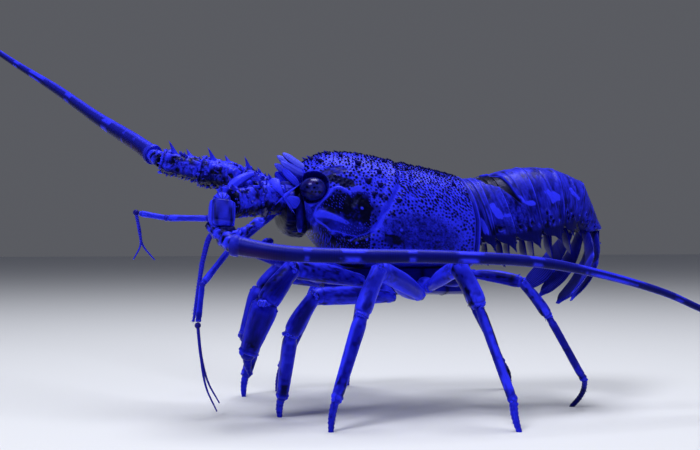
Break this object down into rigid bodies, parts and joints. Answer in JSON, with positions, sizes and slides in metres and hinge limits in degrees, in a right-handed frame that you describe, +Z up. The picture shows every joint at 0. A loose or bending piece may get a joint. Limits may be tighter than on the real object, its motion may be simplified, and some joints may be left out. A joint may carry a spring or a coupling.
{
  "type": "spiny lobster",
  "caption": "Life-size spiny lobster standing on its legs in a blue light, long feelers spread, spotted spiny shell and curled tail.",
  "frame": {"origin": "on the floor, under the middle of the box round the whole animal", "axes": "+Z up from the floor, head towards -X, the animal's left side towards -Y"},
  "size_m": [0.7625, 0.4294, 0.3387],
  "materials": {
    "shell": "semi-gloss, pale net with dark dots",
    "flank": "semi-gloss, deep blue with pale patches",
    "underside": "satin",
    "leg": "semi-gloss, streaked lengthwise",
    "feeler": "semi-gloss, ringed with pale bands",
    "eye": "gloss",
    "horn": "semi-gloss"
  },
  "bodies": {
    "root": {"abdomen_1": "flank", "abdomen_2": "flank", "abdomen_3": "flank", "abdomen_4": "flank", "abdomen_5": "flank", "abdomen_6": "flank", "antenna_left_1": "flank", "antenna_left_2": "flank", "antenna_left_3": "flank", "antenna_right_1": "flank", "antenna_right_2": "flank", "antenna_right_3": "flank", "antennule_left": "leg", "antennule_left_whips": "feeler", "antennule_right": "leg", "antennule_right_whips": "feeler", "carapace": "shell", "eye_left": "eye", "eye_right": "eye", "face": "flank", "flagellum_left_base": "feeler", "flagellum_left_tip": "feeler", "flagellum_right_base": "feeler", "flagellum_right_tip": "feeler", "horn_left": "horn", "horn_right": "horn", "leg_left_1_lower": "leg", "leg_left_1_upper": "leg", "leg_left_2_lower": "leg", "leg_left_2_upper": "leg", "leg_left_3_lower": "leg", "leg_left_3_upper": "leg", "leg_left_4_lower": "leg", "leg_left_4_upper": "leg", "leg_left_5_lower": "leg", "leg_left_5_upper": "leg", "leg_right_1_lower": "leg", "leg_right_1_upper": "leg", "leg_right_2_lower": "leg", "leg_right_2_upper": "leg", "leg_right_3_lower": "leg", "leg_right_3_upper": "leg", "leg_right_4_lower": "leg", "leg_right_4_upper": "leg", "leg_right_5_lower": "leg", "leg_right_5_upper": "leg", "maxilliped_left": "flank", "maxilliped_right": "flank", "palp_left": "feeler", "sternum": "underside", "swimmerets_2": "underside", "swimmerets_3": "underside", "swimmerets_4": "underside", "swimmerets_5": "underside", "telson": "flank", "uropod_inner_left": "flank", "uropod_inner_right": "flank", "uropod_outer_left": "flank", "uropod_outer_right": "flank"}
  },
  "joints": []
}
